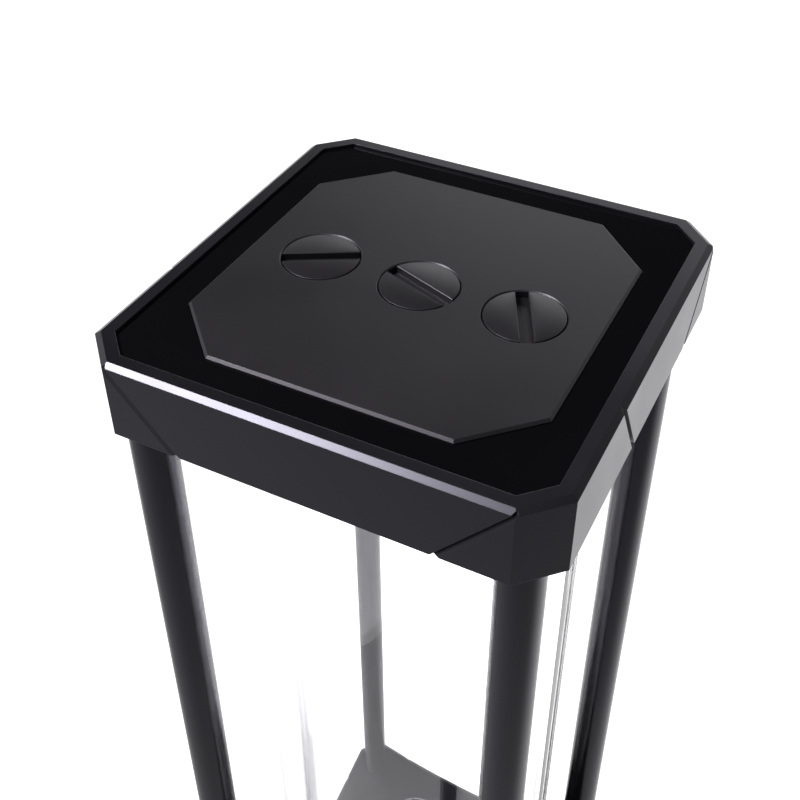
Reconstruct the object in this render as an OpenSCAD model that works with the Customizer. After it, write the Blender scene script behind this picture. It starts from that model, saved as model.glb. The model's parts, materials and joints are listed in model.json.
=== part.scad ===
// Coolant pump reservoir: a square tower with a clear round tube between a
// cap with three screw plugs and a base that holds a canned-rotor pump.
// Origin: centre of the footprint, on the surface that the feet stand on.
// +Z is up, -Y is the front and the hose ports open to the back, +Y.

/* [Overall] */
// Width and depth of the cap and the base
body_w = 96; // [95:1:120]
// Height of the cap
cap_h = 17; // [15:0.5:24]
// Clear height between the base and the cap
column_h = 224; // [120:1:320]
// Height of the base housing
base_h = 72; // [71:1:100]
// Leg of the cut on each vertical corner
corner_cut = 7.5; // [5:0.5:10]
// Height of the rubber feet
foot_h = 3; // [2:0.5:6]

/* [Cap] */
// Width of the bevel round the top edge
bevel_w = 1.2; // [0.6:0.1:2]
// Drop of the bevel round the top edge
bevel_h = 0.8; // [0.4:0.1:2]
// Width of the flat rim inside the bevel
rim_w = 2.5; // [1.5:0.1:4]
// Thickness of the glossy inlay
inlay_t = 2.3; // [1.5:0.1:3]
// Depth of the inlay's top below the rim
inlay_drop = 0.7; // [0.2:0.1:1.5]
// Depth of the slanted grooves in the side faces
groove_d = 1.0; // [0.5:0.1:1.5]
// Width of the sloping side of those grooves
groove_w = 1.3; // [0.6:0.1:2]
// Sideways lean of the grooves over the cap's height
panel_lean = 14.8; // [8:0.1:18]
// Distance of the side faces' front groove from the middle, at the top
front_wide = 16.5; // [12:0.5:24]

/* [Lid] */
// Width of the raised octagonal lid over its flats
lid_w = 75.1; // [68:0.1:80]
// Leg of the cut on the lid's corners
lid_cut = 12.6; // [8:0.1:16]
// Edge bevel of the lid
lid_bevel = 0.5; // [0.2:0.1:1]
// Radius of the port thread, G 1/4
port_r = 6.58; // [5:0.01:7]
// Radius of the plug heads
plug_r = 8.05; // [7.6:0.05:8.6]
// Thickness of the plug heads
plug_head_t = 2.6; // [2:0.1:3]
// Length of the plug threads
plug_thread_l = 9; // [6:0.5:11]
// Width of the coin slots
slot_w = 2.3; // [1.6:0.1:3]
// Depth of the coin slots
slot_d = 1.6; // [0.8:0.1:1.8]

/* [Column] */
// Outer diameter of the clear tube
tube_od = 75; // [70:0.5:76]
// Wall of the clear tube
tube_wall = 5.5; // [3:0.5:6]
// Diameter of the corner pillars
pillar_d = 9.4; // [8:0.1:11]
// Distance of the pillar axes from the cap's sides
pillar_inset = 8.7; // [8:0.1:9.5]
// Outer diameter of the intake riser inside the tube
riser_od = 16.8; // [14:0.1:18]
// Wall of the intake riser
riser_wall = 2.2; // [1.5:0.1:3]
// Height of the riser above the floor of the tube
riser_h = 46; // [20:1:80]

/* [Base] */
// Wall of the base housing
base_wall = 4; // [3:0.5:6]
// Thickness of the bottom plate
plate_t = 4; // [3:0.5:6]
// Distance of each hose port from the middle
hose_port_x = 18; // [17:0.5:18.5]
// Radius of the access holes round the hose ports
access_r = 11.5; // [10.5:0.1:12.5]

/* [Pump] */
// Radius of the impeller
impeller_r = 19.5; // [17:0.1:20]
// Number of impeller blades
blade_count = 7; // [5:1:9]
// Radius of the magnet ball under the impeller
rotor_r = 17.3; // [15:0.1:17.5]
// Radius of the motor can
can_r = 30; // [29:0.5:31]
// Number of stator teeth
tooth_count = 12; // [6:3:12]

/* [Hidden] */
$fn = 64;
eps = 0.05;         // overshoot of a cut past the face that it opens
slip = 0.2;         // gap round a piece that drops into a pocket
fit = 0.05;         // radial gap of a turned fit
seal_gap = 0.08;    // gap round a moving seal

seal_squash = 0.02; // gap left either side of a static seal

// heights
half = body_w / 2;
base_z = foot_h;
base_top = foot_h + base_h;
cap_z = base_top + column_h;
top_z = cap_z + cap_h;

// lid and cap
pocket_floor = top_z - inlay_drop - inlay_t;
inlay_half = half - bevel_w - rim_w;
rim_cut = corner_cut - (bevel_w + rim_w) * (2 - sqrt(2));
pillar_at = half - pillar_inset;
pillar_r = pillar_d / 2;
flange_half = half - 6.5;
flange_cut = 2 * flange_half - sqrt(2) * (sqrt(2) * pillar_at - pillar_r - 1.3);
flange_t = 5;
tube_r = tube_od / 2;
bore_r = tube_r - tube_wall;
tube_top = pocket_floor - flange_t;
spigot_r = bore_r - slip;
spigot_l = 12;
seal_groove_r = spigot_r - 2.1;
seal_groove_w = 3;
seal_r = (bore_r - seal_groove_r) / 2 - seal_squash;
seal_major = (bore_r + seal_groove_r) / 2;
port_wall = 0.8;
port_pitch = seal_groove_r - port_wall - port_r;
counterbore_r = plug_r + slip;
counterbore_d = plug_head_t + 1;
edge_c = 0.25;
screw_r = 1.95;
screw_hole_r = 2;
tie_hole_r = 2.15;
screw_head_r = 3.5;
screw_head_h = 4;
head_pocket_r = 3.7;
head_pocket_z = pocket_floor - screw_head_h - slip;
pillar_socket = head_pocket_z - cap_z - 2.7;
small_screw_at = (tube_r + 7) / sqrt(2);
small_screw_r = 1.45;
small_hole_r = 1.5;
small_head_r = 2.75;
small_head_h = 2.8;

// base
floor_z = base_top + 2;
tube_bottom = base_top - 9;
base_flange_z = tube_bottom - 8;
housing_floor = base_z + plate_t;
cavity_half = half - base_wall;
cavity_cut = corner_cut - 4.9;
post_r = 6;
hose_port_z = base_flange_z - 2.5;
hose_port_d = 12;
hose_face_y = cavity_half - slip;
boss_r = 9.3;
passage_r = 4.2;
mount_at = half - 23;
mount_hole_r = 2;
foot_r = 6.5;
foot_at = [half - 14, half - 26];

// pump
pump_face = base_flange_z - 14;
chamber_r = impeller_r + 2;
chamber_h = 8;
passage_z = pump_face + 5.5;
outlet_y = 24;
outlet_r = 3.6;
eye_r = 5.5;
face_seal_r = chamber_r + 3.2;
face_seal_d = 1.2;
rotor_z = pump_face + 1;
cup_r = rotor_r + 0.8;
cup_wall = 1.1;
cup_flange_t = 1.6;
can_flange_r = can_r + 4.5;
cup_flange_r = can_flange_r - slip;
pump_body_r = can_flange_r + 6.5;
can_flange_t = 2;
can_wall = 1.8;
can_top = pump_face - cup_flange_t;
can_bottom = housing_floor + 1.5;
clamp_at = (can_flange_r + 3.2) / sqrt(2);
slot_end = can_r - 5.5;
ball_r = 2.6;
ball_z = rotor_z - 2.5;
pin_r = 2;
pin_foot_z = rotor_z - cup_r - 1;
coil_h = 13;
grommet_z = base_z + 16;
grommet_r = 5;

// ---------------------------------------------------------------- shared shapes

// Square outline with its four corners cut at 45 degrees.
module cut_square(half_w, cut) {
    near = half_w - cut;
    polygon([[-near, -half_w], [near, -half_w], [half_w, -near], [half_w, near],
        [near, half_w], [-near, half_w], [-half_w, near], [-half_w, -near]]);
}

// Upright prism over that outline.
module cut_prism(half_w, cut, low, high) {
    translate([0, 0, low])
        linear_extrude(height = high - low)
            cut_square(half_w, cut);
}

// The same prism with a bevel round its top edge: the part that eight sloping planes leave.
module bevelled_prism(half_w, cut, low, high, bw, bh) {
    diagonal = (2 * half_w - cut) / sqrt(2);
    intersection_for (side = [[0, half_w], [90, half_w], [45, diagonal], [135, diagonal]])
        rotate([90, 0, side[0]])
            linear_extrude(height = 3 * half_w, center = true)
                polygon([[-side[1], low], [side[1], low], [side[1], high - bh],
                    [side[1] - bw, high], [bw - side[1], high], [-side[1], high - bh]]);
}

// Upright cylinder between two heights.
module post(r, low, high) {
    translate([0, 0, low])
        cylinder(r = r, h = high - low);
}

// Seal ring of round section.
module o_ring(major, minor, z) {
    translate([0, 0, z])
        rotate_extrude()
            translate([major, 0])
                circle(r = minor, $fn = 32);
}

// Repeats its child in the four corners at plus and minus x and y.
module corners(x, y) {
    for (sx = [-1, 1], sy = [-1, 1])
        translate([sx * x, sy * y, 0])
            children();
}

// Socket head screw standing on head_z, its shank going down.
module cap_screw(head_r, head_h, shank_r, shank_l, head_z) {
    difference() {
        union() {
            post(head_r, head_z, head_z + head_h);
            post(shank_r, head_z - shank_l, head_z + eps);
        }
        translate([0, 0, head_z + head_h * 0.45])
            cylinder(r = head_r * 0.55, h = head_h, $fn = 6);
    }
}

// The same screw, its head down and its shank going up from head_z.
module cap_screw_up(head_r, head_h, shank_r, shank_l, head_z) {
    translate([0, 0, head_z])
        mirror([0, 0, 1])
            cap_screw(head_r, head_h, shank_r, shank_l, 0);
}

// Slanted groove in the front face, from one height to a lower one: a steep wall, and
// a slope groove_w wide on its outward side, which is 1 for right and -1 for left.
module slant_groove(x_top, x_bottom, z_top, z_bottom, outward) {
    run = x_bottom - x_top;
    drop = z_bottom - z_top;
    translate([x_top, -half, z_top])
        rotate([0, atan2(run, drop), 0])
            translate([0, 0, -4])
                linear_extrude(height = norm([run, drop]) + 8)
                    polygon([[0, -1], [0, groove_d], [-outward * groove_w, 0],
                        [-outward * groove_w, -1]]);
}

// Both slanted grooves that frame the wide panel on the front and back of the cap.
module wide_panel_grooves(top, bottom) {
    wide = half - corner_cut;
    narrow = wide - panel_lean;
    for (turn = [0, 180])
        rotate([0, 0, turn]) {
            slant_groove(wide, narrow, top, bottom, 1);
            slant_groove(-wide, -narrow, top, bottom, -1);
        }
}

// The grooves on the left and right faces, whose panel reaches only to the back corner.
module short_panel_grooves(top, bottom) {
    back_wide = half - corner_cut;
    back_narrow = back_wide - panel_lean;
    front_narrow = front_wide - 10.5;
    rotate([0, 0, 90]) {
        slant_groove(-front_wide, -front_narrow, top, bottom, -1);
        slant_groove(back_wide, back_narrow, top, bottom, 1);
    }
    rotate([0, 0, -90]) {
        slant_groove(front_wide, front_narrow, top, bottom, 1);
        slant_groove(-back_wide, -back_narrow, top, bottom, -1);
    }
}

// ---------------------------------------------------------------- cap

module top_cap() {
    color("#2c2b30")
        difference() {
            bevelled_prism(half, corner_cut, cap_z, top_z, bevel_w, bevel_h);
            cut_prism(inlay_half, rim_cut, pocket_floor, top_z + eps);
            cut_prism(flange_half + slip, flange_cut, tube_top, pocket_floor + eps);
            post(tube_r + slip, cap_z - eps, tube_top + eps);
            corners(pillar_at, pillar_at) {
                post(pillar_r + fit, cap_z - eps, cap_z + pillar_socket);
                post(tie_hole_r, cap_z, top_z);
                post(head_pocket_r, head_pocket_z, pocket_floor + eps);
            }
            corners(small_screw_at, small_screw_at) {
                post(small_hole_r, cap_z, tube_top + eps);
                post(small_head_r + slip, cap_z - eps, cap_z + small_head_h + slip);
            }
            wide_panel_grooves(top_z, cap_z);
            short_panel_grooves(top_z, cap_z);
        }
}

module top_inlay() {
    color("#08080a")
        difference() {
            cut_prism(inlay_half - 0.1, rim_cut - 0.06, pocket_floor, top_z - inlay_drop);
            cut_prism(lid_w / 2 + 0.15, lid_cut + 0.1, pocket_floor - eps, top_z);
        }
}

module port_lid() {
    color("#3a393c")
        difference() {
            union() {
                bevelled_prism(lid_w / 2, lid_cut, pocket_floor - eps, top_z, lid_bevel, lid_bevel);
                cut_prism(flange_half, flange_cut, tube_top, pocket_floor);
                post(spigot_r, tube_top - spigot_l, tube_top + eps);
            }
            difference() {
                post(spigot_r + 1, tube_top - 8, tube_top - 8 + seal_groove_w);
                post(seal_groove_r, tube_top - 9, tube_top);
            }
            for (i = [-1, 0, 1])
                translate([i * port_pitch, 0, 0])
                    port_bore();
            corners(small_screw_at, small_screw_at)
                post(small_hole_r, tube_top - eps, pocket_floor - 1);
        }
}

// Stepped bore of one filling port: thread, seat of the seal and a bevelled mouth.
module port_bore() {
    post(port_r, tube_top - spigot_l - eps, top_z);
    rotate_extrude()
        polygon([[0, top_z - counterbore_d], [counterbore_r, top_z - counterbore_d],
            [counterbore_r, top_z - edge_c], [counterbore_r + edge_c, top_z],
            [counterbore_r + edge_c, top_z + eps], [0, top_z + eps]]);
}

// Screws from below that pull the lid's flange down on the tube.
module lid_screws() {
    head_z = cap_z + small_head_h + slip;
    color("#55565a")
        corners(small_screw_at, small_screw_at)
            cap_screw_up(small_head_r, small_head_h, small_screw_r,
                pocket_floor - 1.5 - head_z, head_z);
}

module pillar_screws() {
    color("#55565a")
        corners(pillar_at, pillar_at)
            cap_screw(screw_head_r, screw_head_h, screw_r, 14, head_pocket_z);
}

// Flush screw plug with a coin slot right across its head.
module plug(place, slot_angle) {
    head_low = top_z - plug_head_t;
    shank_low = head_low - plug_thread_l;
    color("#403f43")
        translate([place * port_pitch, 0, 0])
            difference() {
                rotate_extrude()
                    polygon([[0, shank_low], [port_r - 0.9, shank_low],
                        [port_r - seal_gap, shank_low + 0.8], [port_r - seal_gap, head_low],
                        [plug_r, head_low], [plug_r, top_z - edge_c],
                        [plug_r - edge_c, top_z], [0, top_z]]);
                rotate([0, 0, slot_angle])
                    translate([-plug_r - 1, -slot_w / 2, top_z - slot_d])
                        cube([2 * plug_r + 2, slot_w, slot_d + 1]);
                post(port_r - 2.6, shank_low - eps, head_low - 2.5);
            }
}

module plug_left() {
    plug(-1, 29);
}

module plug_middle() {
    plug(0, -20);
}

module plug_right() {
    plug(1, -64);
}

// Seal under a plug head, in the seat between the head and the counterbore's floor.
module plug_seal(place) {
    seat = counterbore_d - plug_head_t;
    color("#151515")
        translate([place * port_pitch, 0, 0])
            o_ring(port_r + 0.72, seat / 2 - seal_gap, top_z - counterbore_d + seat / 2);
}

module plug_seal_left() {
    plug_seal(-1);
}

module plug_seal_middle() {
    plug_seal(0);
}

module plug_seal_right() {
    plug_seal(1);
}

// ---------------------------------------------------------------- column

module tube_seal_top() {
    color("#151515")
        o_ring(seal_major, seal_r, tube_top - 8 + seal_groove_w / 2);
}

module tube_seal_bottom() {
    color("#151515")
        o_ring(seal_major, seal_r, tube_bottom + 5 + seal_groove_w / 2);
}

module clear_tube() {
    c = 0.6;
    color("#dfe6ee", 0.3)
        rotate_extrude()
            polygon([[bore_r, tube_bottom + c], [bore_r + c, tube_bottom], [tube_r - c, tube_bottom],
                [tube_r, tube_bottom + c], [tube_r, tube_top - c], [tube_r - c, tube_top],
                [bore_r + c, tube_top], [bore_r, tube_top - c]]);
}

// Clear riser over the pump's intake, with windows at its foot for the coolant.
module intake_riser() {
    r = riser_od / 2;
    window = 5;
    color("#e8ecef", 0.5)
        difference() {
            rotate_extrude()
                polygon([[r - riser_wall, floor_z - 4], [r, floor_z - 4],
                    [r, floor_z + riser_h - 0.4], [r - 0.4, floor_z + riser_h],
                    [r - riser_wall + 0.4, floor_z + riser_h],
                    [r - riser_wall, floor_z + riser_h - 0.4]]);
            for (turn = [0, 90])
                rotate([0, 0, turn])
                    translate([-r - 1, -window / 2, floor_z + 1])
                        cube([2 * r + 2, window, 2 * window]);
        }
}

// Turned pillar, tapped at both ends.
module pillar(sx, sy) {
    low = base_top - 8;
    high = cap_z + pillar_socket - fit;
    c = 0.5;
    color("#242327")
        translate([sx * pillar_at, sy * pillar_at, 0])
            difference() {
                rotate_extrude()
                    polygon([[0, low], [pillar_r - c, low], [pillar_r, low + c],
                        [pillar_r, high - c], [pillar_r - c, high], [0, high]]);
                post(screw_hole_r, low - eps, low + 16);
                post(screw_hole_r, high - 16, high + eps);
            }
}

module pillar_front_left() {
    pillar(-1, -1);
}

module pillar_front_right() {
    pillar(1, -1);
}

module pillar_back_left() {
    pillar(-1, 1);
}

module pillar_back_right() {
    pillar(1, 1);
}

// ---------------------------------------------------------------- base

module base_housing() {
    color("#2c2b30")
        difference() {
            union() {
                difference() {
                    bevelled_prism(half, corner_cut, base_z, base_top, bevel_w, bevel_h);
                    cut_prism(cavity_half, cavity_cut, base_z - eps, base_flange_z);
                }
                corners(pillar_at, pillar_at)
                    post(post_r, housing_floor, base_flange_z + eps);
            }
            cut_prism(flange_half + slip, flange_cut, base_flange_z - eps, tube_bottom);
            post(tube_r + slip, tube_bottom - eps, base_top + eps);
            corners(pillar_at, pillar_at) {
                post(pillar_r + fit, base_top - 8 - fit, base_top + eps);
                post(tie_hole_r, housing_floor - eps, base_top);
            }
            corners(small_screw_at, small_screw_at)
                post(small_hole_r, tube_bottom - eps, tube_bottom + 6);
            for (x = [-hose_port_x, hose_port_x])
                translate([x, 0, hose_port_z])
                    rotate([-90, 0, 0]) {
                        post(boss_r + slip, flange_half - 1, cavity_half + eps);
                        post(access_r, cavity_half, half + 1);
                    }
            translate([0, 0, grommet_z])
                rotate([-90, 0, 0]) {
                    post(grommet_r, cavity_half - 1, half + 1);
                    post(grommet_r + 2.2, half - 1.5, half + 1);
                }
            base_grooves();
        }
}

// Slanted grooves in the upper band of the base: the cap's, turned upside down.
module base_grooves() {
    band = base_top - cap_h;
    wide = half - corner_cut;
    narrow = wide - panel_lean;
    for (turn = [0:90:270])
        rotate([0, 0, turn]) {
            slant_groove(narrow, wide, base_top, band, 1);
            slant_groove(-narrow, -wide, base_top, band, -1);
        }
}

// Pump top: seals the tube's foot, holds the pump and has both hose ports.
module pump_top() {
    color("#1d1d20")
        difference() {
            union() {
                post(pump_body_r, pump_face, base_flange_z + eps);
                cut_prism(flange_half, flange_cut, base_flange_z, tube_bottom);
                post(spigot_r, tube_bottom - eps, floor_z);
                for (x = [-hose_port_x, hose_port_x])
                    translate([x, 0, hose_port_z])
                        rotate([-90, 0, 0])
                            post(boss_r, 24, hose_face_y);
            }
            difference() {
                post(spigot_r + 1, tube_bottom + 5, tube_bottom + 5 + seal_groove_w);
                post(seal_groove_r, tube_bottom + 4, tube_bottom + 9);
            }
            post(chamber_r, pump_face - eps, pump_face + chamber_h);
            post(eye_r, pump_face, floor_z + eps);
            post(riser_od / 2 + fit, floor_z - 4, floor_z + eps);
            for (x = [-hose_port_x, hose_port_x])
                translate([x, 0, hose_port_z])
                    rotate([-90, 0, 0]) {
                        post(port_r, hose_face_y - hose_port_d, hose_face_y + eps);
                        post(passage_r, 15, hose_face_y);
                    }
            difference() {
                post(face_seal_r + 1, pump_face - eps, pump_face + face_seal_d);
                post(face_seal_r - 1, pump_face - 1, pump_face + 2);
            }
            translate([-hose_port_x, 15, 0])
                post(passage_r, hose_port_z, floor_z + eps);
            translate([hose_port_x, outlet_y, 0])
                post(outlet_r, passage_z, hose_port_z);
            translate([chamber_r - outlet_r, 0, passage_z])
                rotate([-90, 0, 0])
                    post(outlet_r, 0, outlet_y + 2);
            corners(small_screw_at, small_screw_at)
                post(small_hole_r, base_flange_z - eps, tube_bottom + eps);
            corners(clamp_at, clamp_at)
                post(2.05, pump_face - eps, pump_face + 10);
        }
}

module pump_top_screws() {
    color("#55565a")
        corners(small_screw_at, small_screw_at)
            cap_screw_up(small_head_r, small_head_h, small_screw_r, 13, base_flange_z);
}

module base_plate() {
    color("#202023")
        difference() {
            cut_prism(cavity_half - 0.1, cavity_cut, base_z, housing_floor);
            corners(pillar_at, pillar_at) {
                post(tie_hole_r, base_z - eps, housing_floor + eps);
                rotate_extrude()
                    polygon([[0, base_z - eps], [4.35, base_z - eps], [4.35, base_z],
                        [2, base_z + 2.35], [0, base_z + 2.35]]);
            }
            corners(mount_at, mount_at)
                post(mount_hole_r, base_z - eps, housing_floor + eps);
            corners(foot_at[0], foot_at[1])
                post(2.5, base_z - eps, housing_floor - 1);
            for (i = [-3:3])
                translate([i * 6 - 1.25, -15, base_z - eps])
                    cube([2.5, 30, plate_t + 1]);
        }
}

// Long countersunk screws through the plate and the housing into the pillars.
module tie_screws() {
    tip = base_top - 8 + 14;
    color("#55565a")
        corners(pillar_at, pillar_at)
            difference() {
                rotate_extrude()
                    polygon([[0, base_z + 0.1], [4, base_z + 0.1], [4, base_z + 0.3],
                        [screw_r, base_z + 2.35], [screw_r, tip], [0, tip]]);
                translate([0, 0, base_z])
                    cylinder(r = 1.5, h = 2, $fn = 6);
            }
}

module feet() {
    color("#101012")
        corners(foot_at[0], foot_at[1])
            rotate_extrude()
                polygon([[0, 0], [foot_r - 1, 0], [foot_r, 1], [foot_r, foot_h],
                    [2.45, foot_h], [2.45, housing_floor - 1.2], [0, housing_floor - 1.2]]);
}

// Rubber grommet in the back wall, where the pump's lead would come out.
module cable_grommet() {
    flange = grommet_r + 2;
    inner = cavity_half;
    outer = half - 1.5;
    color("#101012")
        translate([0, 0, grommet_z])
            rotate([-90, 0, 0])
                rotate_extrude()
                    polygon([[2.8, inner - 1.3], [flange - 0.4, inner - 1.3], [flange, inner - 0.05],
                        [grommet_r - fit, inner - 0.05], [grommet_r - fit, outer + 0.05],
                        [flange, outer + 0.05], [flange, outer + 0.9], [flange - 0.5, outer + 1.4],
                        [2.8, outer + 1.4]]);
}

// ---------------------------------------------------------------- pump

// Closed impeller: two shrouds with backward-curved blades between them.
module impeller() {
    low = rotor_z - 0.1;
    blade_low = low + 1.4;
    blade_h = 3.7;
    color("#e7e7e2")
        difference() {
            union() {
                post(impeller_r, low, blade_low);
                for (i = [0:blade_count - 1])
                    rotate([0, 0, i * 360 / blade_count])
                        translate([0, 0, blade_low - eps])
                            linear_extrude(height = blade_h + 2 * eps)
                                blade_outline();
                difference() {
                    union() {
                        post(impeller_r, blade_low + blade_h, blade_low + blade_h + 1.2);
                        post(7.4, blade_low + blade_h, blade_low + blade_h + 1.7);
                    }
                    post(6, blade_low, blade_low + blade_h + 2);
                }
                post(4.4, ball_z + 0.6, low + eps);
            }
            translate([0, 0, ball_z])
                sphere(r = ball_r + fit);
            post(ball_r + fit, ball_z - 3, ball_z);
        }
}

// One blade as the sliver between two circles, kept between the eye and the rim.
module blade_outline() {
    arc_r = impeller_r * 0.72;
    thick = 1.3;
    intersection() {
        difference() {
            translate([impeller_r * 0.62, arc_r * 0.62])
                circle(r = arc_r);
            translate([impeller_r * 0.62, arc_r * 0.62])
                circle(r = arc_r - thick);
            translate([-2 * impeller_r, arc_r * 0.62])
                square([4 * impeller_r, 2 * impeller_r]);
        }
        difference() {
            circle(r = impeller_r - 0.3);
            circle(r = 6.3);
        }
        translate([0, -impeller_r])
            square([impeller_r, 2 * impeller_r]);
    }
}

// Ball-shaped magnet under the impeller, hollow round the bearing.
module rotor_magnet() {
    color("#3b3a38")
        difference() {
            intersection() {
                translate([0, 0, rotor_z])
                    sphere(r = rotor_r);
                post(rotor_r + 1, rotor_z - rotor_r - 1, rotor_z - 0.1);
            }
            post(4.4 + fit, rotor_z - rotor_r - 1, rotor_z);
        }
}

module bearing_ball() {
    color("#f2f2ee")
        translate([0, 0, ball_z])
            sphere(r = ball_r);
}

module bearing_pin() {
    color("#b9bcc0")
        difference() {
            post(pin_r, pin_foot_z, ball_z);
            translate([0, 0, ball_z])
                sphere(r = ball_r + 0.02);
        }
}

// Thin bowl that keeps the coolant and the rotor apart from the windings.
module separation_cup() {
    color("#cfd3d6")
        difference() {
            union() {
                post(cup_flange_r, can_top, pump_face);
                intersection() {
                    translate([0, 0, rotor_z])
                        sphere(r = cup_r + cup_wall);
                    post(cup_r + 2, rotor_z - cup_r - 2, can_top + eps);
                }
                post(4, rotor_z - cup_r - cup_wall - 0.6, rotor_z - cup_r);
            }
            translate([0, 0, rotor_z])
                sphere(r = cup_r);
            post(pin_r, pin_foot_z, rotor_z);
        }
}

// Face seal between the bowl's flange and the pump top.
module pump_seal() {
    color("#151515")
        o_ring(face_seal_r, face_seal_d / 2 - seal_squash, pump_face + face_seal_d / 2);
}

// Stator ring with inward teeth round the bowl.
module stator_core() {
    tooth = 360 / tooth_count;
    color("#8d8f93")
        difference() {
            post(can_r - can_wall - 0.2, can_top - 22, can_top - 4);
            translate([0, 0, rotor_z])
                sphere(r = cup_r + cup_wall + 0.4);
            post(11, can_top - 23, can_top);
            for (i = [0:tooth_count - 1])
                rotate([0, 0, (i + 0.5) * tooth])
                    translate([10, -2.4, can_top - 23])
                        cube([slot_end - 10, 4.8, 20]);
        }
}

// Copper windings in the gaps between the teeth.
module stator_coils() {
    tooth = 360 / tooth_count;
    color("#b8733a")
        difference() {
            for (i = [0:tooth_count - 1])
                rotate([0, 0, (i + 0.5) * tooth])
                    translate([12.5, -2.25, can_top - 21])
                        cube([slot_end - 12.6, 4.5, coil_h]);
            translate([0, 0, rotor_z])
                sphere(r = cup_r + cup_wall + 0.4);
        }
}

module control_board() {
    board_z = can_bottom + 4;
    color("#1e5b3a")
        union() {
            difference() {
                post(can_r - can_wall - 0.2, board_z, board_z + 1.6);
                translate([can_r - can_wall - 3, 0, board_z - 1])
                    cylinder(r = 3, h = 4);
            }
            for (at = [[-12, 8, 4], [-14, -8, 3], [2, 16, 3.4]])
                translate([at[0], at[1], 0])
                    post(at[2], board_z + 1.5, board_z + 4.6);
            translate([4, -12, board_z + 1.5])
                cube([9, 9, 1.7]);
        }
}

module pump_can() {
    color("#2a2a2d")
        difference() {
            union() {
                post(can_r, can_bottom, can_top);
                post(can_flange_r, can_top - can_flange_t, can_top);
            }
            post(can_r - can_wall, can_bottom + 2, can_top - 3);
            post(cup_r + cup_wall + 1.5, can_top - 4, can_top + eps);
            rotate([-90, 0, 0])
                translate([0, -can_bottom - 8, can_r - 4])
                    cylinder(r = 3, h = 8);
        }
}

// Ring that clamps the motor can's flange to the pump top.
module clamp_ring() {
    ring_low = can_top - can_flange_t - 4;
    color("#26262a")
        difference() {
            post(pump_body_r, ring_low, pump_face);
            post(can_r + slip, ring_low - eps, pump_face);
            post(can_flange_r + slip, can_top - can_flange_t, pump_face + eps);
            corners(clamp_at, clamp_at)
                post(2.05, ring_low - eps, pump_face + eps);
        }
}

module clamp_screws() {
    ring_low = can_top - can_flange_t - 4;
    color("#55565a")
        corners(clamp_at, clamp_at)
            cap_screw_up(3.4, 3.6, 1.97, 16, ring_low);
}

top_cap();
top_inlay();
port_lid();
lid_screws();
pillar_screws();
plug_left();
plug_middle();
plug_right();
plug_seal_left();
plug_seal_middle();
plug_seal_right();
tube_seal_top();
clear_tube();
tube_seal_bottom();
intake_riser();
pillar_front_left();
pillar_front_right();
pillar_back_left();
pillar_back_right();
base_housing();
pump_top();
pump_top_screws();
impeller();
rotor_magnet();
bearing_ball();
bearing_pin();
separation_cup();
pump_seal();
stator_core();
stator_coils();
control_board();
pump_can();
clamp_ring();
clamp_screws();
base_plate();
tie_screws();
feet();
cable_grommet();
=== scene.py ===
"""Looks of the coolant pump reservoir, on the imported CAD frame.

All lengths are metres, +Z is up, -Y is the front and the origin is the middle of the footprint.
"""
import json
import math

import bpy
import numpy as np
from mathutils import Matrix, Vector


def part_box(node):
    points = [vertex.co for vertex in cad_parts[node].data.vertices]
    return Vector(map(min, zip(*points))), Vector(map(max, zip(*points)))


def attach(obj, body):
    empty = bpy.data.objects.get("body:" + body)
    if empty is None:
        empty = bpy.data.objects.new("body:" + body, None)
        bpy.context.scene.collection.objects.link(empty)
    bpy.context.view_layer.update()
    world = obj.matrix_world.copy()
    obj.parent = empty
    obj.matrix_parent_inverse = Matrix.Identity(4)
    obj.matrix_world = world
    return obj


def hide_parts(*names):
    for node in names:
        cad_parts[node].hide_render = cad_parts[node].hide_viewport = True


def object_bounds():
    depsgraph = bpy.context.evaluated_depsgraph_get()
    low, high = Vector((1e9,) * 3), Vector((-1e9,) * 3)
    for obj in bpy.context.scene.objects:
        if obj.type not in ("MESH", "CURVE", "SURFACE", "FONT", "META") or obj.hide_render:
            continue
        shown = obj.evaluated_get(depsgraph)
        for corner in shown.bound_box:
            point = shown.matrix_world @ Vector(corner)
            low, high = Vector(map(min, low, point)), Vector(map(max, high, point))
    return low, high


MM = 0.001
SHARP_EDGE = math.radians(30)

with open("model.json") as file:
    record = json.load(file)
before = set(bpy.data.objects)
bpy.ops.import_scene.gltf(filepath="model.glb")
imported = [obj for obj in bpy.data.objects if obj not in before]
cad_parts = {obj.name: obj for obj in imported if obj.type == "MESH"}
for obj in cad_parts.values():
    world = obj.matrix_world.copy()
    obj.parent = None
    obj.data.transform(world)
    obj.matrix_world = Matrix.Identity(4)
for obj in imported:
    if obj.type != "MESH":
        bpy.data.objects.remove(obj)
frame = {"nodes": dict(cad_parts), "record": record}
cad_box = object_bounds()
nodes = frame["nodes"]


# ------------------------------------------------------------------ where things are

def mount(name):
    """The record's mount of that name."""
    return next(m for m in frame["record"]["mounts"] if m["name"] == name)


# ------------------------------------------------------------------ node helpers

def add_node(tree, kind, values=None, **settings):
    """Adds a shader node, sets its properties and its unlinked inputs."""
    made = tree.nodes.new("ShaderNode" + kind)
    for key, value in settings.items():
        setattr(made, key, value)
    for key, value in (values or {}).items():
        made.inputs[key].default_value = value
    return made


def shader_material(name, **values):
    """A material with one Principled shader whose constant sockets are given by name."""
    material = bpy.data.materials.new(name)
    material.use_nodes = True
    tree = material.node_tree
    tree.nodes.clear()
    output = add_node(tree, "OutputMaterial")
    shader = add_node(tree, "BsdfPrincipled")
    tree.links.new(shader.outputs["BSDF"], output.inputs["Surface"])
    for key, value in values.items():
        shader.inputs[key.replace("_", " ")].default_value = value
    return material, tree, shader


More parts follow.
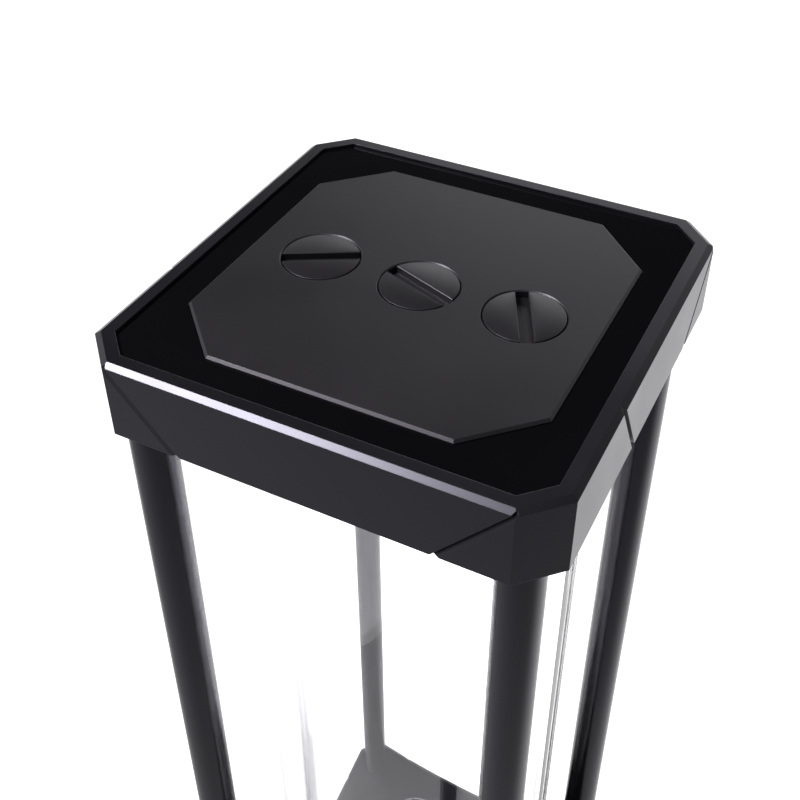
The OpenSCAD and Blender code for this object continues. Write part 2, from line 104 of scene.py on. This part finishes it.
def object_noise(tree, scale, stretch=(1, 1, 1), detail=3.0, roughness=0.55):
    """Noise on Object coordinates: scale is in grains per metre, stretch squeezes them per axis."""
    place = add_node(tree, "TexCoord")
    turn = add_node(tree, "Mapping", {"Scale": stretch})
    tree.links.new(place.outputs["Object"], turn.inputs["Vector"])
    noise = add_node(tree, "TexNoise", {"Scale": scale, "Detail": detail, "Roughness": roughness})
    tree.links.new(turn.outputs["Vector"], noise.inputs["Vector"])
    return noise


def vary(tree, source, low, high, socket):
    """Maps a noise from 0.3-0.7 to low-high and links it to a shader socket."""
    spread = add_node(tree, "MapRange", {"From Min": 0.3, "From Max": 0.7, "To Min": low,
                                         "To Max": high})
    tree.links.new(source.outputs["Fac"], spread.inputs["Value"])
    tree.links.new(spread.outputs["Result"], socket)


def tint(tree, source, dark, light, socket):
    """Colours a noise between two colours."""
    ramp = add_node(tree, "ValToRGB")
    ramp.color_ramp.elements[0].position = 0.3
    ramp.color_ramp.elements[0].color = (*dark, 1)
    ramp.color_ramp.elements[1].position = 0.7
    ramp.color_ramp.elements[1].color = (*light, 1)
    tree.links.new(source.outputs["Fac"], ramp.inputs["Fac"])
    tree.links.new(ramp.outputs["Color"], socket)


def relief(tree, shader, source, height, edge=0.0):
    """Bump of the given height from a noise, over edges rounded by edge in the shading."""
    bump = add_node(tree, "Bump", {"Strength": 1.0, "Distance": height})
    tree.links.new(source.outputs["Fac"], bump.inputs["Height"])
    if edge:
        soft = add_node(tree, "Bevel", {"Radius": edge}, samples=6)
        tree.links.new(soft.outputs["Normal"], bump.inputs["Normal"])
    tree.links.new(bump.outputs["Normal"], shader.inputs["Normal"])


# ------------------------------------------------------------------ finishes

def black_anodised():
    """Fine blasted and anodised aluminium of the cap and the base."""
    material, tree, shader = shader_material(
        "black_anodised", IOR=1.5, Specular_Tint=(0.86, 0.83, 1.0, 1))
    grain = object_noise(tree, 5200, detail=2.0)
    cloud = object_noise(tree, 38, detail=4.0)
    tint(tree, cloud, (0.0030, 0.0027, 0.0040), (0.0044, 0.0040, 0.0056),
         shader.inputs["Base Color"])
    vary(tree, cloud, 0.3, 0.35, shader.inputs["Roughness"])
    relief(tree, shader, grain, 0.004 * MM, edge=0.18 * MM)
    return material


def gloss_black():
    """Polished black inlay."""
    material, tree, shader = shader_material("gloss_black", IOR=1.5)
    cloud = object_noise(tree, 30, detail=3.0)
    tint(tree, cloud, (0.0012, 0.0011, 0.0015), (0.0018, 0.0017, 0.0022),
         shader.inputs["Base Color"])
    vary(tree, cloud, 0.03, 0.05, shader.inputs["Roughness"])
    relief(tree, shader, cloud, 0.002 * MM, edge=0.08 * MM)
    return material


def satin_black():
    """Satin black of the lid and the screw plugs."""
    material, tree, shader = shader_material(
        "satin_black", IOR=1.5, Specular_Tint=(0.92, 0.88, 1.0, 1))
    grain = object_noise(tree, 7000, detail=2.0)
    cloud = object_noise(tree, 45, detail=3.0)
    tint(tree, cloud, (0.0036, 0.0031, 0.0040), (0.0052, 0.0046, 0.0058),
         shader.inputs["Base Color"])
    vary(tree, cloud, 0.4, 0.45, shader.inputs["Roughness"])
    relief(tree, shader, grain, 0.003 * MM, edge=0.12 * MM)
    return material


def black_rod():
    """Black anodised rod, with the faint rings that turning leaves."""
    material, tree, shader = shader_material(
        "black_rod", IOR=1.5, Specular_Tint=(0.88, 0.85, 1.0, 1))
    rings = object_noise(tree, 900, stretch=(0.02, 0.02, 1), detail=3.0)
    cloud = object_noise(tree, 60, detail=3.0)
    tint(tree, cloud, (0.0034, 0.0032, 0.0042), (0.0052, 0.0048, 0.0062),
         shader.inputs["Base Color"])
    vary(tree, rings, 0.2, 0.27, shader.inputs["Roughness"])
    relief(tree, shader, rings, 0.0015 * MM, edge=0.15 * MM)
    return material


def clear_acrylic():
    """Clear cast tube, polished, with a hardly visible waviness from drawing."""
    material, tree, shader = shader_material(
        "clear_acrylic", IOR=1.49, Transmission_Weight=1.0, Roughness=0.0,
        Base_Color=(0.972, 0.966, 0.985, 1))
    wave = object_noise(tree, 45, stretch=(1, 1, 0.12), detail=1.0)
    relief(tree, shader, wave, 0.004 * MM)
    return material


def black_acetal():
    """Machined black acetal of the pump top."""
    material, tree, shader = shader_material("black_acetal", IOR=1.48)
    tool = object_noise(tree, 1600, stretch=(1, 0.05, 1), detail=2.0)
    cloud = object_noise(tree, 70)
    tint(tree, cloud, (0.008, 0.008, 0.0085), (0.013, 0.013, 0.0135), shader.inputs["Base Color"])
    vary(tree, tool, 0.36, 0.46, shader.inputs["Roughness"])
    relief(tree, shader, tool, 0.004 * MM, edge=0.15 * MM)
    return material


def black_steel():
    """Oiled black oxide of the screws."""
    material, tree, shader = shader_material("black_steel", Metallic=1.0)
    cloud = object_noise(tree, 600, detail=4.0)
    tint(tree, cloud, (0.03, 0.03, 0.032), (0.055, 0.054, 0.056), shader.inputs["Base Color"])
    vary(tree, cloud, 0.26, 0.4, shader.inputs["Roughness"])
    relief(tree, shader, cloud, 0.004 * MM, edge=0.1 * MM)
    return material


def seal_rubber():
    """Soft black rubber with a dusty bloom."""
    material, tree, shader = shader_material("seal_rubber", IOR=1.5)
    cloud = object_noise(tree, 400, detail=5.0)
    tint(tree, cloud, (0.007, 0.007, 0.007), (0.014, 0.014, 0.014), shader.inputs["Base Color"])
    vary(tree, cloud, 0.6, 0.78, shader.inputs["Roughness"])
    relief(tree, shader, cloud, 0.015 * MM, edge=0.2 * MM)
    return material


def moulded(name, dark, light, rough=(0.38, 0.5), grain=1500):
    """Moulded plastic with a fine spark-eroded texture."""
    material, tree, shader = shader_material(name, IOR=1.5)
    skin = object_noise(tree, grain, detail=3.0)
    tint(tree, skin, dark, light, shader.inputs["Base Color"])
    vary(tree, skin, *rough, shader.inputs["Roughness"])
    relief(tree, shader, skin, 0.006 * MM, edge=0.15 * MM)
    return material


def metal(name, dark, light, rough, stretch=(1, 1, 1), grain=900, height=0.003):
    """Bare metal with a drawn, stacked or wound direction given by stretch."""
    material, tree, shader = shader_material(name, Metallic=1.0)
    skin = object_noise(tree, grain, stretch=stretch, detail=3.0)
    tint(tree, skin, dark, light, shader.inputs["Base Color"])
    vary(tree, skin, *rough, shader.inputs["Roughness"])
    relief(tree, shader, skin, height * MM, edge=0.08 * MM)
    return material


finishes = {
    "black_anodised": black_anodised(),
    "gloss_black": gloss_black(),
    "satin_black": satin_black(),
    "black_rod": black_rod(),
    "clear_acrylic": clear_acrylic(),
    "black_acetal": black_acetal(),
    "black_steel": black_steel(),
    "seal_rubber": seal_rubber(),
    "white_plastic": moulded("white_plastic", (0.62, 0.62, 0.58), (0.72, 0.72, 0.68)),
    "ceramic_white": moulded("ceramic_white", (0.76, 0.76, 0.73), (0.82, 0.82, 0.79), (0.08, 0.14)),
    "magnet": moulded("magnet", (0.035, 0.034, 0.032), (0.06, 0.058, 0.055), (0.45, 0.6)),
    "dark_plastic": moulded("dark_plastic", (0.018, 0.018, 0.019), (0.028, 0.028, 0.03)),
    "board_green": moulded("board_green", (0.008, 0.09, 0.035), (0.014, 0.13, 0.055), (0.2, 0.32)),
    "bright_steel": metal("bright_steel", (0.5, 0.5, 0.5), (0.62, 0.62, 0.63), (0.2, 0.32)),
    "lamination_steel": metal("lamination_steel", (0.2, 0.2, 0.21), (0.36, 0.36, 0.37),
                              (0.35, 0.5), stretch=(0.01, 0.01, 1), grain=2200, height=0.05),
    "copper_wire": metal("copper_wire", (0.42, 0.14, 0.04), (0.7, 0.3, 0.12), (0.25, 0.4),
                         stretch=(0.01, 0.01, 1), grain=2600, height=0.12),
}
for part in frame["record"]["subparts"]:
    target = nodes[part["node"]]
    target.data.materials.clear()
    target.data.materials.append(finishes[part["material_slot"]])


# ------------------------------------------------------------------ turned and threaded pieces

THREAD_PITCH = 1.337 * MM
THREAD_DEPTH = 0.8 * MM
PORT_SLOTS = {"left": 29, "middle": -20, "right": -64}  # degrees from +X


def mesh_piece(name, points, faces, slot, body):
    """A mesh object from whole arrays, smooth but for edges sharper than SHARP_EDGE."""
    mesh = bpy.data.meshes.new(name)
    mesh.from_pydata(points, [], faces)
    mesh.validate()
    piece = bpy.data.objects.new(name, mesh)
    bpy.context.scene.collection.objects.link(piece)
    mesh.shade_smooth()
    mesh.set_sharp_from_angle(angle=SHARP_EDGE)
    mesh.materials.append(finishes[slot])
    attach(piece, body)
    return piece


def lathe(radii, heights, centre):
    """Surface of revolution about a vertical axis, whose radius may change with the angle.

    Row i, column j is the point centre + (r_ij cos a_j, r_ij sin a_j, z_i) with a_j the even
    angles of a full turn. Rows of radius 0 at either end close to one pole each.
    """
    rows, columns = radii.shape
    angle = np.linspace(0, 2 * np.pi, columns, endpoint=False)
    grid = np.empty((rows, columns, 3))
    grid[..., 0] = centre[0] + radii * np.cos(angle)
    grid[..., 1] = centre[1] + radii * np.sin(angle)
    grid[..., 2] = heights
    ring = np.arange(rows * columns).reshape(rows, columns)
    after = np.roll(ring, -1, axis=1)
    quads = np.stack([ring[:-1], after[:-1], after[1:], ring[1:]], axis=-1)
    return grid, ring, quads


def closed_lathe(radii, heights, centre):
    """Points and faces of a lathe whose first and last rows are poles."""
    grid, ring, quads = lathe(radii, heights, centre)
    inner = grid[1:-1].reshape(-1, 3)
    columns = radii.shape[1]
    shift = ring[1:-1] - columns
    low_pole = len(inner)
    high_pole = low_pole + 1
    points = np.vstack([inner, grid[0, :1], grid[-1, :1]])
    faces = (quads[1:-1] - columns).reshape(-1, 4).tolist()
    first, last = shift[0], shift[-1]
    faces += [(low_pole, int(b), int(a)) for a, b in zip(first, np.roll(first, -1))]
    faces += [(high_pole, int(a), int(b)) for a, b in zip(last, np.roll(last, -1))]
    return points.tolist(), faces


def thread_wave(z, angle):
    """Height of a right-hand thread between 0 at the root and 1 at the crest.

    With p the place within one pitch, |2p - 1| is a triangle wave; it is steepened and cut off
    so that crest and root are flat.
    """
    place = (z / THREAD_PITCH - angle / (2 * np.pi)) % 1.0
    return np.clip(1.35 - 2.7 * np.abs(place - 0.5), 0.0, 1.0)


def screw_plug(side):
    """Turned plug: bevelled head, relief groove, thread that fades at both ends, hollow foot."""
    low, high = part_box(f"plug_{side}")
    centre = (low + high) / 2
    columns = 160
    angle = np.linspace(0, 2 * np.pi, columns, endpoint=False)
    head_r = (high.x - low.x) / 2
    top = high.z
    foot = low.z
    head_h = 2.6 * MM
    head_low = top - head_h
    crest = 6.5 * MM
    hollow = 3.98 * MM
    hollow_top = head_low - 2.5 * MM
    edge = 0.2 * MM
    relief_h = 0.8 * MM
    turns = np.linspace(foot + 0.5 * MM, head_low - relief_h, 96)
    fade = np.clip(np.minimum(turns - foot - 0.3 * MM, head_low - turns - 0.4 * MM) / MM, 0, 1)
    wave = thread_wave(turns[:, None], angle[None, :]) * fade[:, None]
    threads = crest - THREAD_DEPTH * (1 - wave)
    before = [(0.0, hollow_top), (hollow, hollow_top), (hollow, foot + 0.3 * MM),
              (hollow + 0.3 * MM, foot), (crest - 1.2 * MM, foot)]
    after = [(crest - THREAD_DEPTH, head_low), (head_r - edge, head_low), (head_r, head_low + edge),
             (head_r, top - edge), (head_r - 0.06 * MM, top - 0.06 * MM), (head_r - edge, top),
             (0.0, top)]
    radii = np.vstack([[[r] * columns for r, _ in before], threads,
                       [[r] * columns for r, _ in after]])
    heights = np.concatenate([[z for _, z in before], turns, [z for _, z in after]])
    points, faces = closed_lathe(radii, heights[:, None], centre)
    piece = mesh_piece(f"screw_plug_{side}", points, faces, "satin_black", f"screw_plug_{side}")
    cut_slot(piece, centre, top, head_r, PORT_SLOTS[side])
    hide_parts(f"plug_{side}")


def cut_slot(piece, centre, top, head_r, degrees):
    """Cuts the coin slot: a straight channel with broken upper edges, right across the head."""
    width = 2.6 * MM
    depth = 1.6 * MM
    lip = 0.14 * MM
    reach = head_r + MM
    section = [(-width / 2, top - depth), (width / 2, top - depth), (width / 2, top - lip),
               (width / 2 + lip, top), (width / 2 + lip, top + MM), (-width / 2 - lip, top + MM),
               (-width / 2 - lip, top), (-width / 2, top - lip)]
    turn = math.radians(degrees)
    along = Vector((math.cos(turn), math.sin(turn), 0))
    across = Vector((-math.sin(turn), math.cos(turn), 0))
    flat = Vector((centre.x, centre.y, 0))
    ends = [[flat + end * reach * along + x * across + Vector((0, 0, z)) for x, z in section]
            for end in (-1, 1)]
    count = len(section)
    sides = [(i, (i + 1) % count, (i + 1) % count + count, i + count) for i in range(count)]
    faces = sides + [tuple(reversed(range(count))), tuple(range(count, 2 * count))]
    mesh = bpy.data.meshes.new("slot_cutter")
    mesh.from_pydata(ends[0] + ends[1], [], faces)
    cutter = bpy.data.objects.new("slot_cutter", mesh)
    bpy.context.scene.collection.objects.link(cutter)
    cut = piece.modifiers.new("slot", "BOOLEAN")
    cut.operation = "DIFFERENCE"
    cut.solver = "EXACT"
    cut.object = cutter
    bpy.context.view_layer.update()
    graph = bpy.context.evaluated_depsgraph_get()
    shaped = bpy.data.meshes.new_from_object(piece.evaluated_get(graph), depsgraph=graph)
    piece.modifiers.clear()
    old = piece.data
    piece.data = shaped
    bpy.data.meshes.remove(old)
    bpy.data.objects.remove(cutter)
    shaped.shade_smooth()
    shaped.set_sharp_from_angle(angle=SHARP_EDGE)


def hose_thread(name):
    """Inner thread of a hose port: a thin sleeve whose inner radius follows the thread's wave."""
    port = mount(name)
    x, y, z = port["pos_m"]
    bore = port["dims"]["r_mm"] * MM
    length = 10.5 * MM
    inset = 0.6 * MM
    columns, rows = 144, 110
    angle = np.linspace(0, 2 * np.pi, columns, endpoint=False)
    depth = np.linspace(0, length, rows)
    fade = np.clip(np.minimum(depth, length - depth) / (0.9 * MM), 0, 1)
    wave = thread_wave(depth[:, None], angle[None, :]) * fade[:, None]
    inner = bore - 0.05 * MM - THREAD_DEPTH * wave
    outer = np.full((2, columns), bore - 0.01 * MM)
    radii = np.vstack([inner, outer])
    steps = np.concatenate([depth, [length, 0.0]])
    grid = np.empty((rows + 2, columns, 3))
    grid[..., 0] = x + radii * np.cos(angle)
    grid[..., 1] = y - inset - steps[:, None]
    grid[..., 2] = z + radii * np.sin(angle)
    ring = np.arange((rows + 2) * columns).reshape(rows + 2, columns)
    after = np.roll(ring, -1, axis=1)
    next_ring = np.roll(ring, -1, axis=0)
    next_after = np.roll(after, -1, axis=0)
    faces = np.stack([ring, after, next_after, next_ring], axis=-1).reshape(-1, 4)
    mesh_piece(f"{name}_thread", grid.reshape(-1, 3).tolist(), faces.tolist(), "black_acetal",
               "reservoir")


for side in PORT_SLOTS:
    screw_plug(side)
hose_thread("hose_inlet")
hose_thread("hose_outlet")


# ------------------------------------------------------------------ studio

def floor():
    """Large pale floor: white when seen directly or through the tube, and in gloss from grey at the
    front to white behind the tower."""
    size = 6.0
    mesh = bpy.data.meshes.new("floor")
    corners = [(-size, -size, 0), (size, -size, 0), (size, size, 0), (-size, size, 0)]
    mesh.from_pydata(corners, [], [(0, 1, 2, 3)])
    plane = bpy.data.objects.new("floor", mesh)
    bpy.context.scene.collection.objects.link(plane)
    material = bpy.data.materials.new("floor")
    material.use_nodes = True
    tree = material.node_tree
    tree.nodes.clear()
    output = add_node(tree, "OutputMaterial")
    matt = add_node(tree, "BsdfDiffuse", {"Color": (0.27, 0.27, 0.28, 1)})
    glow = add_node(tree, "Emission", {"Color": (1, 1, 1, 1)})
    both = add_node(tree, "AddShader")
    strength = add_node(tree, "Math", operation="ADD")
    tree.links.new(seen_rays(tree, 0.95), strength.inputs[0])
    tree.links.new(gloss_behind(tree, 1.15), strength.inputs[1])
    tree.links.new(strength.outputs["Value"], glow.inputs["Strength"])
    tree.links.new(matt.outputs["BSDF"], both.inputs[0])
    tree.links.new(glow.outputs["Emission"], both.inputs[1])
    tree.links.new(both.outputs["Shader"], output.inputs["Surface"])
    mesh.materials.append(material)


def seen_rays(tree, strength):
    """A socket that is strength for camera and transmission rays, and 0 for the others."""
    path = add_node(tree, "LightPath")
    either = add_node(tree, "Math", operation="MAXIMUM")
    scaled = add_node(tree, "Math", {1: strength}, operation="MULTIPLY")
    tree.links.new(path.outputs["Is Camera Ray"], either.inputs[0])
    tree.links.new(path.outputs["Is Transmission Ray"], either.inputs[1])
    tree.links.new(either.outputs["Value"], scaled.inputs[0])
    return scaled.outputs["Value"]


def gloss_behind(tree, strength):
    """A socket for glossy rays that grows from 0 in front of the tower to strength behind it."""
    place = add_node(tree, "TexCoord")
    axes = add_node(tree, "SeparateXYZ")
    tree.links.new(place.outputs["Object"], axes.inputs["Vector"])
    grow = add_node(tree, "MapRange", {"From Min": -0.1, "From Max": 0.2, "To Min": 0.0,
                                       "To Max": strength}, interpolation_type="SMOOTHSTEP")
    tree.links.new(axes.outputs["Y"], grow.inputs["Value"])
    path = add_node(tree, "LightPath")
    scaled = add_node(tree, "Math", operation="MULTIPLY")
    tree.links.new(path.outputs["Is Glossy Ray"], scaled.inputs[0])
    tree.links.new(grow.outputs["Result"], scaled.inputs[1])
    return scaled.outputs["Value"]


def studio_world():
    """White surround for camera and transmission rays; gloss sees it white only near the horizon,
    under a dark ceiling; other rays get an even fill."""
    fill = 0.2
    world = bpy.data.worlds.new("studio")
    bpy.context.scene.world = world
    world.use_nodes = True
    tree = world.node_tree
    tree.nodes.clear()
    output = add_node(tree, "OutputWorld")
    sky = add_node(tree, "Background", {"Color": (1, 1, 1, 1)})
    tree.links.new(sky.outputs["Background"], output.inputs["Surface"])
    place = add_node(tree, "TexCoord")
    axes = add_node(tree, "SeparateXYZ")
    tree.links.new(place.outputs["Generated"], axes.inputs["Vector"])
    ceiling = add_node(tree, "MapRange", {"From Min": 0.1, "From Max": 0.45, "To Min": 1.0,
                                          "To Max": 0.03}, interpolation_type="SMOOTHSTEP")
    tree.links.new(axes.outputs["Z"], ceiling.inputs["Value"])
    path = add_node(tree, "LightPath")
    gloss = add_node(tree, "Mix", data_type="FLOAT")
    gloss.inputs["A"].default_value = fill
    tree.links.new(path.outputs["Is Glossy Ray"], gloss.inputs["Factor"])
    tree.links.new(ceiling.outputs["Result"], gloss.inputs["B"])
    direct = add_node(tree, "Math", operation="MAXIMUM")
    tree.links.new(path.outputs["Is Camera Ray"], direct.inputs[0])
    tree.links.new(path.outputs["Is Transmission Ray"], direct.inputs[1])
    strength = add_node(tree, "Mix", data_type="FLOAT")
    strength.inputs["B"].default_value = 1.0
    tree.links.new(direct.outputs["Value"], strength.inputs["Factor"])
    tree.links.new(gloss.outputs["Result"], strength.inputs["A"])
    tree.links.new(strength.outputs["Result"], sky.inputs["Strength"])


def softbox(name, place, aim, width, height, power):
    """Rectangular lamp at place, turned to aim, which the camera doesn't see."""
    data = bpy.data.lights.new(name, "AREA")
    data.shape = "RECTANGLE"
    data.size = width
    data.size_y = height
    data.energy = power
    lamp = bpy.data.objects.new(name, data)
    lamp.location = place
    lamp.rotation_euler = (Vector(aim) - Vector(place)).to_track_quat("-Z", "Y").to_euler()
    lamp.visible_camera = False
    lamp.visible_transmission = False
    bpy.context.scene.collection.objects.link(lamp)


def studio_lamps():
    """Key high at the front left, a soft box behind and a large one overhead."""
    top = (0, 0, cad_box[1][2])
    softbox("key", (-0.8, -0.6, 1.46), top, 0.5, 0.5, 44)
    softbox("back", (-0.1, 1.5, 0.85), top, 1.4, 0.5, 4.5)
    softbox("overhead", (0.2, -0.3, 1.9), (0, 0, 0), 1.2, 1.2, 4)


def camera():
    """Camera above the front right corner, looking down along the tube."""
    azimuth, elevation, roll = 27.301, 37.425, -0.303
    data = bpy.data.cameras.new("camera")
    data.sensor_width = 36
    data.lens = 52.823
    data.shift_x = 0.002
    data.shift_y = -0.0981
    data.clip_start = 0.01
    eye = bpy.data.objects.new("camera", data)
    eye.location = (0.0825, -0.16889, 0.45078)
    turn = (Matrix.Rotation(math.radians(azimuth), 3, "Z")
            @ Matrix.Rotation(math.radians(90 - elevation), 3, "X")
            @ Matrix.Rotation(math.radians(roll), 3, "Z"))
    eye.rotation_euler = turn.to_euler()
    bpy.context.scene.collection.objects.link(eye)
    bpy.context.scene.camera = eye


floor()
studio_world()
studio_lamps()
camera()
bpy.context.scene.view_settings.view_transform = "Standard"
